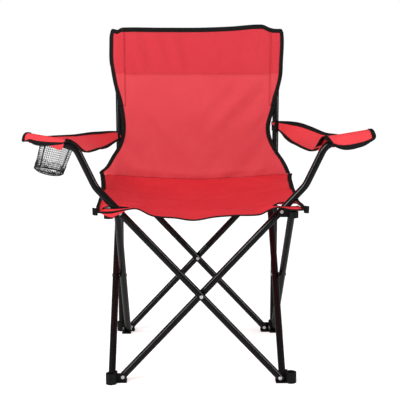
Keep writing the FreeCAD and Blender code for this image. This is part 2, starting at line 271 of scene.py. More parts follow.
# %% [markdown]
# ### Coated tube, rivets and mouldings
#
# The tubes are steel with a gloss black powder coat. Powder melts into a skin with a faint
# orange peel, which is what breaks up its reflections, so a fine bump and a slightly uneven
# roughness matter more than colour. The rivets are zinc plated, brushed by the barrel they
# were tumbled in. The mouldings are black nylon with a fine spark-eroded texture.

# %% Finishes of the frame
def tube_coat():
    coat = Finish("tube_coat", Specular_IOR_Level=0.10, Coat_Roughness=0.06, Coat_IOR=1.5)
    place = coat.object_place()
    patches = coat.mottle(place, 35.0, 3.0)
    peel = coat.mottle(place, 700.0, 1.0)
    coat.set("Base Color", coat.mix(patches, (0.0015, 0.0015, 0.0018, 1), (0.004, 0.004, 0.0045, 1)))
    coat.set("Roughness", patches * 0.10 + 0.17)
    coat.set("Coat Weight", patches * 0.16 + 0.34)
    coat.bump(peel, 0.00003)
    return coat.material


def rivet_zinc():
    zinc = Finish("rivet_zinc")
    place = zinc.object_place()
    grime = zinc.mottle(place, 240.0, 4.0)
    scratches = zinc.mottle(place, 1500.0, 2.0)
    zinc.set("Base Color", zinc.mix(grime, (0.42, 0.42, 0.44, 1), (0.72, 0.72, 0.73, 1)))
    zinc.set("Metallic", 0.55 - grime * 0.12)
    zinc.set("Roughness", grime * 0.25 + 0.18)
    zinc.bump(scratches, 0.00006)
    return zinc.material


def moulded_nylon():
    nylon = Finish("moulded_nylon", Specular_IOR_Level=0.14)
    place = nylon.object_place()
    grain = nylon.mottle(place, 1100.0, 2.0)
    patches = nylon.mottle(place, 50.0, 2.0)
    nylon.set("Base Color", nylon.mix(patches, (0.003, 0.003, 0.0035, 1), (0.008, 0.008, 0.009, 1)))
    nylon.set("Roughness", patches * 0.12 + 0.38)
    nylon.bump(grain, 0.00010)
    return nylon.material


FRAME_FINISHES = {
    "frame_tube": tube_coat(),
    "rivet_steel": rivet_zinc(),
    "black_plastic": moulded_nylon(),
}
print("frame finishes", sorted(FRAME_FINISHES))

# %% [markdown]
# ### Cloth, tape, thread and net
#
# The sling is coated polyester in a plain weave: each thread goes over one and under the next.
# A sine across and a sine along give the two sets of threads, and the sign of their product
# says which of them is on top. The lower backrest is painted a paler red than the part above
# the seam, where two layers lie together. That paleness is painted light, standing for light
# that comes through where the cloth is single. The black tape is ribbed across its length, and
# the thread is twisted.

# %% Finishes of the cloth
THREAD_PITCH = 0.00075
RIB_PITCH = 0.0016


def weave(cloth, place, pitch):
    """Height and top thread of a plain weave, both from 0 to 1."""
    across, along, _ = cloth.split(place)
    warp = (across * (math.pi / pitch)).sine()
    weft = (along * (math.pi / pitch)).sine()
    on_top = (warp * weft * 3.0 + 0.5).limited()
    height = on_top * warp.size() + (1.0 - on_top) * weft.size()
    return height, on_top


def red_cloth(name, pale, deep, seam_height=None):
    """Red cloth. Below seam_height, along the cloth, it is painted paler, standing for light that comes through the
    single layer; above it the cloth is doubled and a deeper red.
    """
    cloth = Finish(name, Specular_IOR_Level=0.12)
    place = cloth.cloth_place()
    height, on_top = weave(cloth, place, THREAD_PITCH)
    patches = cloth.mottle(place, 9.0, 3.0)
    slubs = cloth.mottle(place, 160.0, 2.0)
    # Along the backrest the colour leans to the paler red below the seam, which is painted light coming through the
    # single layer. The patches add random tone.
    if seam_height is None:
        tone_and_backlight = patches
    else:
        _, along, _ = cloth.split(place)
        tone_and_backlight = (along.over(seam_height) * 0.75 + patches * 0.5).limited()
    body = cloth.mix(tone_and_backlight, pale, deep)
    # The red is darkened between the threads: painted shade in the hollows of the weave, laid on unevenly with the
    # slubs.
    gap_shade = cloth.mix(height * 0.5 + 0.5, (0.35, 0.01, 0.015, 1), body)
    cloth.set("Base Color", cloth.mix(slubs * 0.35 + on_top * 0.06, body, gap_shade))
    cloth.set("Roughness", slubs * 0.16 + 0.60)
    cloth.bump(height + slubs * 0.8, 0.00016)
    return cloth.material


def tape_finish():
    tape = Finish("ribbed_tape", Specular_IOR_Level=0.10)
    place = tape.cloth_place()
    along, _, _ = tape.split(place)
    ribs = (along * (math.pi / RIB_PITCH)).sine().size()
    lint = tape.mottle(place, 420.0, 3.0)
    # The black is darker between the ribs than on them: painted shade in the hollows, with random lint.
    tape.set("Base Color", tape.mix(ribs * 0.6 + lint * 0.4, (0.0015, 0.0015, 0.0015, 1), (0.010, 0.010, 0.010, 1)))
    tape.set("Roughness", lint * 0.2 + 0.62)
    tape.bump(ribs + lint * 0.4, 0.00018)
    return tape.material


def thread_finish(name, dark, light):
    thread = Finish(name, Specular_IOR_Level=0.15)
    place = thread.cloth_place()
    along, around, _ = thread.split(place)
    twist = ((along + around) * (math.pi / 0.0007)).sine().size()
    # The thread is darker in the grooves of its twist than on its ridges: painted shade.
    thread.set("Base Color", thread.mix(twist, dark, light))
    thread.set("Roughness", twist * 0.15 + 0.5)
    thread.bump(twist, 0.00008)
    return thread.material


def net_finish():
    net = Finish("cup_net", Specular_IOR_Level=0.12)
    place = net.object_place()
    lint = net.mottle(place, 900.0, 2.0)
    net.set("Base Color", net.mix(lint, (0.006, 0.006, 0.006, 1), (0.03, 0.03, 0.03, 1)))
    net.set("Roughness", lint * 0.2 + 0.55)
    net.bump(lint, 0.0001)
    return net.material


# The paler red is painted light, standing for light that comes through the single cloth of the lower backrest. The
# deeper red is the doubled part above the seam.
PAINTED_BACKLIGHT_RED = (0.580, 0.057, 0.069, 1.0)
RED_DEEP = (0.505, 0.031, 0.043, 1.0)
BACK_SEAM_Z = 0.6732

# The seat, the armrests and the backrest are one cloth, given three reds. Their differences are painted light: each red
# is set so that its part looks as bright as it does where it sits, and the seat's red is raised to make up for the
# shade it lies in.
back_cloth = red_cloth("back_cloth", PAINTED_BACKLIGHT_RED, RED_DEEP, BACK_SEAM_Z)
seat_cloth = red_cloth("seat_cloth", (0.690, 0.035, 0.047, 1.0), (0.630, 0.020, 0.031, 1.0))
arm_cloth = red_cloth("arm_cloth", (0.700, 0.055, 0.065, 1.0), (0.640, 0.035, 0.045, 1.0))
black_tape = tape_finish()
red_thread = thread_finish("red_thread", (0.30, 0.008, 0.012, 1), (0.55, 0.02, 0.03, 1))
black_thread = thread_finish("black_thread", (0.006, 0.006, 0.006, 1), (0.03, 0.03, 0.03, 1))
cup_net = net_finish()
print("cloth finishes made")

# %% [markdown]
# ### Painting the frame
#
# The design names a material slot for every part. A part keeps its shape and only gets the
# finish of its slot, in its own material list.

# %% Paint the frame
SHARP_ANGLE = math.radians(32.0)

node_slots = {part["node"]: part["material_slot"] for part in frame["record"]["subparts"]}
for node, part in frame["nodes"].items():
    finish = FRAME_FINISHES.get(node_slots[node])
    if finish is None:
        continue
    part.data.materials.clear()
    part.data.materials.append(finish)
print(sum(slot in FRAME_FINISHES for slot in node_slots.values()), "parts painted")

# %% [markdown]
# ## Measures taken from the frame
#
# The cloth is hung from the poles, hubs and armrest tubes, so its places are counted from
# theirs. Everything below is in metres, with the sitter facing -Y and +X to the right of
# someone who looks at the front.

# %% Measures
def middle(node):
    low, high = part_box(node)
    return (low + high) / 2.0


pole_low, pole_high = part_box("right_back_pole")
POLE_X = (pole_low.x + pole_high.x) / 2.0
POLE_Y = (pole_low.y + pole_high.y) / 2.0
POLE_R = (pole_high.x - pole_low.x) / 2.0
CAP_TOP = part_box("right_pole_cap")[1].z
HUB_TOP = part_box("front_left_hub")[1].z
ARM_PLANE = {-1: middle("left_arm_tube_cap").y, 1: middle("right_arm_tube_cap").y}
ARM_END = {-1: middle("left_arm_tube_cap"), 1: middle("right_arm_tube_cap")}
CLOTH_GAP = 0.0015      # cloth lies this far off the metal it passes over
CLOTH_THICKNESS = 0.0007
TAPE_LIFT = 0.0009      # from the middle of the cloth to the middle of a tape on it
TAPE_THICKNESS = 0.0006
print("pole", round(POLE_X, 4), round(POLE_Y, 4), "radius", round(POLE_R, 4), "hub top", round(HUB_TOP, 4))

# %% [markdown]
# ## Helpers for sewn pieces
#
# A sewn piece starts as a flat grid and each of its points is moved to its place on a curved
# surface. The flat place is kept as the UV map, in metres. Outlines are given by a few points,
# and a smooth curve passes through them, so that an edge can be changed by moving one number.

# %% A smooth curve through a few points
def through(*points):
    """A function whose smooth curve passes through those (place, value) points."""
    places = [place for place, _ in points]
    values = [value for _, value in points]
    last = len(points) - 1
    slopes = []
    for i in range(last + 1):
        before, after = max(i - 1, 0), min(i + 1, last)
        slopes.append((values[after] - values[before]) / (places[after] - places[before]))

    def value(place):
        place = min(max(place, places[0]), places[last])
        i = min(max(bisect.bisect_right(places, place) - 1, 0), last - 1)
        step = places[i + 1] - places[i]
        t = (place - places[i]) / step
        rise = values[i + 1] - values[i]
        a = slopes[i] * step - rise
        b = rise - slopes[i + 1] * step
        return values[i] + t * rise + t * (1.0 - t) * ((1.0 - t) * a + t * b)

    return value


def blend(first, second, share):
    return first + (second - first) * share


def ramp(start, end, place):
    """0 before start, 1 after end and smooth between them."""
    t = min(max((place - start) / (end - start), 0.0), 1.0)
    return t * t * (3.0 - 2.0 * t)


def ripple(u, v, size_u, size_v, seed):
    """Soft uneven waves between about -1 and 1, of that size along u and along v."""
    return noise.noise(Vector((u / size_u, v / size_v, seed * 7.31)))


print("halfway along a curve:", round(through((0, 0), (1, 1), (2, 0))(1.5), 3))

# %% [markdown]
# ### From a grid to a piece
#
# The grid operator makes the faces, and a place function bends them. Solidify then gives the
# cloth its thickness. Each piece is parented to an empty named after the body of the frame
# that carries it.

# %% A piece from a grid
def add_piece(made, name, finish, body, slot, thickness=0.0):
    """Ends a bmesh as a smooth piece, parented to an empty named after a body of the frame."""
    data = bpy.data.meshes.new(name)
    made.to_mesh(data)
    made.free()
    data.materials.append(finish)
    data.shade_smooth()
    piece = bpy.data.objects.new(name, data)
    bpy.context.scene.collection.objects.link(piece)
    if thickness:
        solid = piece.modifiers.new("thickness", "SOLIDIFY")
        solid.thickness = thickness
        solid.offset = 0.0
    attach(piece, body)
    return piece


def grid(columns, rows, place, flat, keep=None, snap=None):
    """A bmesh grid whose point at shares s and t goes to place(s, t); flat(s, t) is its cloth
    place. keep(s, t) says which points stay, and snap(s, t) gives where a hole's edge goes."""
    made = bmesh.new()
    bmesh.ops.create_grid(made, x_segments=columns, y_segments=rows, size=0.5)
    for vert in made.verts:
        vert.co.x += 0.5
        vert.co.y += 0.5
    if keep is not None:
        outside = {v for v in made.verts if v.is_boundary}
        gone = [v for v in made.verts if not keep(v.co.x, v.co.y)]
        bmesh.ops.delete(made, geom=gone, context="VERTS")
        for vert in made.verts:
            if vert.is_boundary and vert not in outside:
                vert.co.x, vert.co.y = snap(vert.co.x, vert.co.y)
    cloth_map = made.loops.layers.uv.new("UVMap")
    for face in made.faces:
        for corner in face.loops:
            corner[cloth_map].uv = flat(corner.vert.co.x, corner.vert.co.y)
    for vert in made.verts:
        vert.co = place(vert.co.x, vert.co.y)
    return made


# %% [markdown]
# ### Binding tape and stitches
#
# Every raw edge of the sling is folded into a tape, ten millimetres deep on each face. The tape
# is a U that follows the edge: its profile goes in along the front of the cloth, round the edge
# and back along the other face. A row of stitches is a thin tube that dips into the cloth at
# each end of each stitch.

# %% Tape and stitches
def crosswise(at, k, depth, step=0.002):
    """The direction square to the surface at a place k along an edge and some depth in."""
    k0, k1 = max(k - step, 0.0), min(k + step, 1.0)
    along = at(k1, depth) - at(k0, depth)
    inwards = at(k, depth + 0.0005) - at(k, depth)
    return along.cross(inwards).normalized()


def length_of(at, depth=0.0, steps=40):
    points = [at(i / steps, depth) for i in range(steps + 1)]
    return sum((b - a).length for a, b in zip(points, points[1:]))


def tape(name, front, body, back=None, width=0.010, spacing=0.005, lift=TAPE_LIFT):
    """A tape folded over an edge. front(k, depth) is the cloth's face, and back its other one."""
    back = back or front
    long = length_of(front)
    profile = [(front, width, 1), (front, width * 0.5, 1), (front, 0.0006, 1), (None, 0.0, 0)]
    profile += [(back, 0.0006, -1), (back, width * 0.5, -1), (back, width, -1)]

    def place(s, t):
        face, depth, side = profile[round(t * (len(profile) - 1))]
        if face is None:
            inwards = (front(s, 0.001) - front(s, 0.0)).normalized()
            return (front(s, 0.0) + back(s, 0.0)) / 2.0 - inwards * lift
        return face(s, depth) + crosswise(face, s, depth) * (lift * side)

    def flat(s, t):
        return s * long, (t - 0.5) * 2.0 * width

    made = grid(max(int(long / spacing), 4), len(profile) - 1, place, flat)
    return add_piece(made, name, black_tape, body, "black_tape", TAPE_THICKNESS)


STITCH = 0.0040
STITCH_PROFILE = (0.0, 1.0, 1.0, 0.0)
THREAD_R = 0.00045


def stitches(name, at, depth, body, thread, slot, lift=0.0016, both=False):
    """A row of stitches at some depth in from an edge, on one face of the cloth or on both."""
    long = length_of(at, depth)
    count = max(int(long / STITCH), 2)
    columns = count * len(STITCH_PROFILE) - 1
    around = 5
    joined = None
    for side in ((1, -1) if both else (1,)):

        def place(s, t):
            i = round(s * columns)
            rise = STITCH_PROFILE[i % len(STITCH_PROFILE)]
            # The ends of neighbouring stitches are close together, and their tops are apart
            k = (i // len(STITCH_PROFILE) + (0.05, 0.25, 0.75, 0.95)[i % len(STITCH_PROFILE)]) / count
            out = crosswise(at, k, depth) * side
            inwards = (at(k, depth + 0.0005) - at(k, depth)).normalized()
            turn = 2.0 * math.pi * t
            radius = THREAD_R * (0.35 + 0.65 * rise)
            centre = at(k, depth) + out * (lift - 0.0009 * (1.0 - rise))
            return centre + inwards * (radius * math.cos(turn)) + out * (radius * math.sin(turn))

        def flat(s, t):
            return s * long, t * 2.0 * math.pi * THREAD_R

        made = grid(columns, around, place, flat)
        bmesh.ops.remove_doubles(made, verts=made.verts, dist=1e-7)
        bmesh.ops.recalc_face_normals(made, faces=made.faces)
        if joined is None:
            joined = made
        else:
            other = bpy.data.meshes.new("other_side")
            made.to_mesh(other)
            made.free()
            joined.from_mesh(other)
            bpy.data.meshes.remove(other)
    return add_piece(joined, name, thread, body, slot)


print("tape and stitches ready")

# %% [markdown]
# ## The backrest
#
# The backrest is one sheet, hourglass shaped, that hangs between the poles. Its edge runs down
# past them to a waist and out again to the seat. Above the waist a sleeve is sewn to each side
# and slips over the pole, so the sleeves are pieces of their own here, each tied to the body of
# its own pole. The sheet bows back a little and has soft creases, upright ones above the cross
# seam and slanted ones below it.

# %% Outlines of the backrest
SEAM_X = 0.187
SLEEVE_LOW = 0.588
SLEEVE_OPEN = 0.640
BACK_LOW = 0.4045

back_left = through(
    (0.404, 0.2410), (0.421, 0.2520), (0.435, 0.2365), (0.463, 0.2195), (0.490, 0.2030),
    (0.521, 0.1940), (0.555, 0.1936), (0.589, 0.1980), (0.616, 0.2045), (0.643, 0.2115),
    (0.673, 0.2170), (0.707, 0.2215), (0.744, 0.2212), (0.774, 0.2195), (0.787, 0.2135),
)
back_right = through(
    (0.404, 0.2400), (0.417, 0.2390), (0.448, 0.2245), (0.477, 0.2045), (0.504, 0.1905),
    (0.528, 0.1845), (0.552, 0.1860), (0.579, 0.1940), (0.610, 0.2010), (0.637, 0.2089),
    (0.668, 0.2150), (0.708, 0.2165), (0.745, 0.2180), (0.775, 0.2165), (0.788, 0.2100),
)
BACK_EDGE = {-1: back_left, 1: back_right}
back_top = through(
    (-0.222, 0.7815), (-0.212, 0.7840), (-0.201, 0.7815), (-0.192, 0.7866), (-0.095, 0.7866),
    (0.0055, 0.7868), (0.081, 0.7894), (0.161, 0.7945), (0.184, 0.7860), (0.200, 0.7845),
    (0.212, 0.7840), (0.222, 0.7800),
)
# The seat's rear edge, which the backrest is sewn to
seat_rear_z = through((-0.250, 0.4185), (-0.12, 0.409), (0.0, 0.4045), (0.11, 0.4095), (0.25, 0.4185))
SLEEVE_HALF = 0.019     # from the pole's middle out to where the two layers meet
WING_HALF = 0.045       # below the sleeves the cloth eases back over this width


def back_face(x, z):
    """The front of the backrest and of its sleeves, at a place seen from the front."""
    out = max(abs(x) - POLE_X, 0.0)
    reach = POLE_R + CLOTH_GAP
    wing = 1.0 - ramp(0.0, WING_HALF, out)
    tube = math.sqrt(max(1.0 - (out / SLEEVE_HALF) ** 2, 0.0))
    bulge = reach * blend(wing, tube, ramp(SLEEVE_LOW, SLEEVE_LOW + 0.016, z))
    # Over the pole's top the layers close towards each other
    closing = math.sqrt(max(1.0 - max(z - CAP_TOP + 0.002, 0.0) ** 2 / 0.0085 ** 2, 0.0))
    bulge *= blend(1.0, closing, ramp(SEAM_X, SEAM_X + 0.009, abs(x)))
    inside = ramp(0.0, 0.035, SEAM_X - abs(x))
    bow = 0.0042 * max(1.0 - (x / SEAM_X) ** 2, 0.0) * ramp(BACK_LOW, 0.52, z)
    upright = ramp(0.655, 0.70, z) * 0.0052 * ripple(x + 0.30 * z, z, 0.028, 0.16, 1.0)
    upright *= blend(0.35, 1.0, ramp(0.05, -0.08, x))
    # Soft creases fall inwards from both shoulders
    from_left, from_right = ramp(0.07, -0.03, x), ramp(-0.03, 0.07, x)
    slanted = 0.0046 * from_left * ripple(x + 0.75 * z, z, 0.042, 0.170, 2.0)
    slanted += 0.0046 * from_right * ripple(x - 0.95 * z, z, 0.045, 0.150, 2.6)
    slanted += 0.0012 * ripple(x - 0.5 * z, z + 0.6 * x, 0.036, 0.050, 3.0)
    tuck = 0.0022 * math.exp(-((z - 0.425 - 0.10 * (abs(x) - 0.1)) / 0.010) ** 2)
    rear = (1.0 - ramp(BACK_LOW, 0.47, z)) * 0.0035
    y = POLE_Y - bulge + bow - rear + inside * (upright + slanted * (1.0 - 0.4 * ramp(0.655, 0.70, z)) - tuck)
    return Vector((x, y, z))


def back_z(x, t):
    return blend(seat_rear_z(x) - 0.0005, back_top(x), t)


def middle_sheet(s, t):
    # The sheet is as wide as its outline up to the sleeves, and then ends at their seams
    limit = SEAM_X if blend(BACK_LOW, 0.787, t) > SLEEVE_LOW + 0.003 else 1.0
    left, right = [min(BACK_EDGE[side](back_z(side * 0.24, t)), limit) for side in (-1, 1)]
    x = blend(-left, right, s)
    return back_face(x, back_z(x, t))


def sheet_flat(s, t):
    point = middle_sheet(s, t)
    return point.x, point.z


print("backrest", round(back_right(0.55) + back_left(0.55), 3), "m wide at its waist")

# %% Backrest sheet
back_sheet = add_piece(
    grid(120, 120, middle_sheet, sheet_flat), "back_sheet", back_cloth,
    "rear_left_foot", "red_cloth", CLOTH_THICKNESS,
)
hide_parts("back_lower_panel", "back_upper_panel")


def facing(s, t):
    """The second layer, behind the top of the sheet."""
    x = blend(-SEAM_X + 0.001, SEAM_X - 0.001, s)
    point = back_face(x, blend(BACK_SEAM_Z - 0.006, back_top(x) - 0.001, t))
    return point + Vector((0.0, 0.0011, 0.0))


def facing_flat(s, t):
    point = facing(s, t)
    return point.x, point.z + 0.00037


back_facing = add_piece(
    grid(90, 30, facing, facing_flat), "back_facing", back_cloth,
    "rear_left_foot", "red_cloth", CLOTH_THICKNESS,
)
print(len(back_sheet.data.polygons), "faces in the backrest sheet")

# %% [markdown]
# ### Sleeves
#
# A sleeve's front layer runs from the seam, round the front of the pole and out to the bound
# edge. Its back layer comes back behind the pole to the same seam. Lower down the front layer
# goes on alone, as a narrowing wing that crosses the pole.

# %% Sleeves
def sleeve_front(side):
    def place(s, t):
        z = blend(SLEEVE_LOW, 0.787, t)
        edge = BACK_EDGE[side](blend(SLEEVE_LOW, back_top(side * 0.21), t))
        x = side * blend(SEAM_X - 0.004, max(edge, SEAM_X - 0.003), s)
        share = (z - BACK_LOW) / (0.787 - BACK_LOW)
        past = ramp(SEAM_X - 0.002, SEAM_X + 0.003, abs(x)) * ramp(SLEEVE_LOW + 0.004, SLEEVE_LOW + 0.012, z)
        lap = 0.0011 * (1.0 - past)
        return back_face(x, back_z(x, share)) - Vector((0.0, lap, 0.0))

    return place


def sleeve_back(side):
    front = sleeve_front(side)

    def place(s, t):
        point = front(s, t)
        x = abs(point.x)
        wrap = (POLE_R + CLOTH_GAP) * math.sqrt(max(1.0 - (max(x - POLE_X, 0.0) / SLEEVE_HALF) ** 2, 0.0))
        closing = math.sqrt(max(1.0 - max(point.z - CAP_TOP + 0.002, 0.0) ** 2 / 0.0085 ** 2, 0.0))
        back = POLE_Y + wrap * closing
        # Inside the pole the layer slants forward to the seam
        back = blend(POLE_Y - POLE_R - CLOTH_GAP + 0.0016, back, ramp(SEAM_X - 0.006, POLE_X - 0.002, x))
        open_at = ramp(SLEEVE_OPEN - 0.012, SLEEVE_OPEN, point.z)
        return Vector((point.x, blend(point.y, back, open_at), point.z))

    return place


def upper_part(place, low):
    """The part of a sleeve above that share of its height."""
    return lambda s, t: place(s, blend(low, 1.0, t))


def sleeve_edge(place, side, start, end):
    """An edge function for a tape or stitches, up the sleeve's outer edge."""

    def at(k, depth):
        t = blend(start, end, k)
        width = (place(1.0, t) - place(0.0, t)).length
        return place(1.0 - depth / max(width, 0.012), t)

    return at if side > 0 else lambda k, depth: at(1.0 - k, depth)


def sleeve_top(place, side):
    def at(k, depth):
        return place(k if side < 0 else 1.0 - k, 1.0 - depth / 0.199)

    return at


POLE_BODY = {-1: "rear_left_foot", 1: "rear_right_foot"}
SIDE_NAME = {-1: "left", 1: "right"}
open_share = (SLEEVE_OPEN - 0.012 - SLEEVE_LOW) / (0.787 - SLEEVE_LOW)
back_trim = []
for side, name in SIDE_NAME.items():
    body = POLE_BODY[side]
    front, back = sleeve_front(side), sleeve_back(side)

    def flat_of(place):
        return lambda s, t: (place(s, t).x, place(s, t).z)

    outer = add_piece(
        grid(14, 60, front, flat_of(front)), f"{name}_sleeve", back_cloth,
        body, "red_cloth", CLOTH_THICKNESS,
    )
    rear = upper_part(back, open_share)
    inner = add_piece(
        grid(14, 50, rear, flat_of(rear)), f"{name}_sleeve_back", back_cloth,
        body, "red_cloth", CLOTH_THICKNESS,
    )
    edge = sleeve_edge(front, side, 0.0, 0.985)
    edge_back = sleeve_edge(back, side, 0.0, 0.985)
    bound = tape(f"{name}_sleeve_binding", edge, body, back=edge_back)
    top = tape(f"{name}_sleeve_top_binding", sleeve_top(front, side), body, back=sleeve_top(back, side))
    row = stitches(f"{name}_sleeve_stitches", edge, 0.0083, body, black_thread, "black_tape")

    def seam(k, depth):
        t = 0.95 * (k if side < 0 else 1.0 - k)
        return front(min(depth / 0.03, 1.0), t)

    seam_row = stitches(f"{name}_sleeve_seam", seam, 0.0022, body, red_thread, "red_cloth", lift=0.0008)
print("sleeves made")

# %% Backrest tapes and seams
def back_side(side):
    """The lower side edge of the sheet, from the seat up to where the sleeve takes over."""

    def at(k, depth):
        z = blend(0.4180, SLEEVE_LOW + 0.010, k if side > 0 else 1.0 - k)
        x = side * (min(BACK_EDGE[side](z), SEAM_X + 0.07) - depth)
        return back_face(x, z)

    return at


def back_top_edge(k, depth):
    x = blend(-SEAM_X, SEAM_X, 1.0 - k)
    return back_face(x, back_top(x) - depth)


def back_seam(k, depth):
    x = blend(-SEAM_X + 0.004, SEAM_X - 0.004, k)
    return back_face(x, BACK_SEAM_Z - 0.003 + depth)


back_trim.append(tape("back_left_binding", back_side(-1), "rear_left_foot"))
back_trim.append(tape("back_right_binding", back_side(1), "rear_left_foot"))
back_trim.append(tape("back_top_binding", back_top_edge, "rear_left_foot"))
for label, at, depth, thread, slot, lift in (
    ("back_left_stitches", back_side(-1), 0.0083, black_thread, "black_tape", 0.0016),
    ("back_right_stitches", back_side(1), 0.0083, black_thread, "black_tape", 0.0016),
    ("back_top_stitches", back_top_edge, 0.0083, black_thread, "black_tape", 0.0016),
    ("back_seam_upper_row", back_seam, 0.0032, red_thread, "red_cloth", 0.0008),
    ("back_seam_lower_row", back_seam, 0.0000, red_thread, "red_cloth", 0.0008),
):
    back_trim.append(stitches(label, at, depth, "rear_left_foot", thread, slot, lift=lift))
print(len(back_trim), "tapes and seams on the backrest")
# %% [markdown]
# ## The seat
#
# The seat is the same cloth, pulled flat over the four hubs by its corners and sagging between
# them. Its front edge dips in the middle under its own weight. When the frame closes, the seat
# folds across its middle, so it is built as two halves that meet in a crease, tied to the seat's
# front and rear bodies. The front half has a bound slit on each side for the armrest tubes.

# %% Outline and height of the seat
SEAT_FRONT = -0.2190
SEAT_REAR = 0.1875
SEAT_FOLD = 0.0
SLIT_X = 0.189
SLIT_LIP = 0.0055
HUB_ZONE = (0.145, 0.160, 0.2105, 0.2165)

seat_left = through(
    (-0.2190, 0.2265), (-0.205, 0.2265), (-0.150, 0.2290), (-0.100, 0.2285), (0.0, 0.2315),
    (0.100, 0.2395), (0.150, 0.2450), (0.1875, 0.2490),
)
seat_right = through(
    (-0.2190, 0.2245), (-0.205, 0.2245), (-0.150, 0.2235), (-0.100, 0.2215), (0.0, 0.2265),
    (0.100, 0.2325), (0.150, 0.2370), (0.1875, 0.2430),
)
SEAT_SIDE = {-1: seat_left, 1: seat_right}
seat_front_z = through(
    (-0.240, 0.3900), (-0.2265, 0.3895), (-0.210, 0.3875), (-0.192, 0.3880), (-0.160, 0.3945),
    (-0.138, 0.3960), (-0.1105, 0.3820), (-0.093, 0.3775), (-0.057, 0.3750), (-0.017, 0.3695),
    (0.029, 0.3770), (0.072, 0.3800), (0.125, 0.3820), (0.148, 0.3935), (0.165, 0.3980),
    (0.191, 0.3925), (0.213, 0.3920), (0.2275, 0.3940), (0.240, 0.3945),
)


def hub_zone(place):
    inner_low, inner_high, outer_low, outer_high = HUB_ZONE
    return ramp(inner_low, inner_high, abs(place)) * (1.0 - ramp(outer_low, outer_high, abs(place)))


def seat_face(x, y):
    """The top of the seat."""
    share = min(max((y - SEAT_FRONT) / (SEAT_REAR - SEAT_FRONT), 0.0), 1.0)
    front, rear = seat_front_z(x), seat_rear_z(x)
    centre = 0.3795 + 0.024 * min(abs(x) / 0.22, 1.0) ** 2
    z = front * (1 - share) * (1 - 2 * share) + centre * 4 * share * (1 - share) + rear * share * (2 * share - 1)
    away = ramp(0.0, 0.03, y - SEAT_FRONT) * ramp(0.0, 0.03, SEAT_REAR - y)
    slack = 0.0016 * ripple(x, y, 0.150, 0.042, 4.0) + 0.0009 * ripple(x + y, y - x, 0.060, 0.045, 5.0)
    pull = 0.0012 * math.sin(90.0 * (abs(x) + 0.8 * y)) * ramp(0.08, 0.17, abs(x)) * ramp(0.06, 0.16, abs(y))
    z += away * (slack + pull)
    zone = hub_zone(x) * hub_zone(y)
    z += zone * max(HUB_TOP + CLOTH_GAP + 0.0004 - z, 0.0)
    # The tube pushes up the lip behind its slit
    behind = ramp(0.034, 0.016, abs(abs(x) - SLIT_X)) * ramp(-0.1915, -0.1835, y) * ramp(-0.150, -0.172, y)
    return Vector((x, y, z + SLIT_LIP * behind))


def tucked(x, y):
    """The front edge is drawn back a little in its middle."""
    depth = 0.006 * (1.0 - ramp(0.08, 0.17, abs(x)))
    return y + depth * max(1.0 - (y - SEAT_FRONT) / 0.08, 0.0)


SLITS = {side: (side * SLIT_X, ARM_PLANE[side]) for side in (-1, 1)}
SLIT_HALF = (0.030, 0.0086)


def seat_half(y_from, y_to):
    def place(s, t):
        y = blend(y_from, y_to, t)
        x = blend(-seat_left(y), seat_right(y), s)
        return seat_face(x, tucked(x, y))

    def flat(s, t):
        y = blend(y_from, y_to, t)
        return blend(-seat_left(y), seat_right(y), s), y

    return place, flat


front_place, front_flat = seat_half(SEAT_FRONT, SEAT_FOLD)
rear_place, rear_flat = seat_half(SEAT_FOLD, SEAT_REAR)


def slit_share(x, y):
    """Below 1 inside a slit, with the slit that it is nearest to."""
    centre = SLITS[-1 if x < 0 else 1]
    u, v = (x - centre[0]) / SLIT_HALF[0], (y - centre[1]) / SLIT_HALF[1]
    return math.hypot(u, v), u, v, centre


def to_slit_edge(s, t):
    x, y = front_flat(s, t)
    _, u, v, centre = slit_share(x, y)
    turn = math.atan2(v, u)
    x = centre[0] + SLIT_HALF[0] * math.cos(turn)
    y = centre[1] + SLIT_HALF[1] * math.sin(turn)
    t = (y - SEAT_FRONT) / (SEAT_FOLD - SEAT_FRONT)
    return (x + seat_left(y)) / (seat_left(y) + seat_right(y)), t


print("seat dips to", round(seat_face(0, 0).z, 4), "and lies over the hubs at", round(seat_face(0.185, 0.185).z, 4))

# %% Seat halves
seat_front = add_piece(
    grid(150, 70, front_place, front_flat, keep=lambda s, t: slit_share(*front_flat(s, t))[0] > 1.0, snap=to_slit_edge),
    "seat_front", seat_cloth, "seat_front", "red_cloth", CLOTH_THICKNESS,
)
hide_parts("seat_front_panel")
seat_rear = add_piece(
    grid(110, 50, rear_place, rear_flat), "seat_rear", seat_cloth, "seat_rear", "red_cloth", CLOTH_THICKNESS,
)
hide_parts("seat_rear_panel")
print(len(seat_front.data.polygons), "and", len(seat_rear.data.polygons), "faces in the seat's halves")

# %% Seat tapes
def seat_side(side, y_from, y_to):
    def at(k, depth):
        y = blend(y_from, y_to, k if side > 0 else 1.0 - k)
        return seat_face(side * (SEAT_SIDE[side](y) - depth), y)

    return at


def seat_front_edge(k, depth):
    x = blend(-seat_left(SEAT_FRONT), seat_right(SEAT_FRONT), k)
    return seat_face(x, tucked(x, SEAT_FRONT) + depth)


def slit_edge(side):
    def at(k, depth):
        turn = -2.0 * math.pi * k
        x = SLITS[side][0] + (SLIT_HALF[0] + depth) * math.cos(turn)
        y = SLITS[side][1] + (SLIT_HALF[1] + depth) * math.sin(turn)
        return seat_face(x, y)

    return at


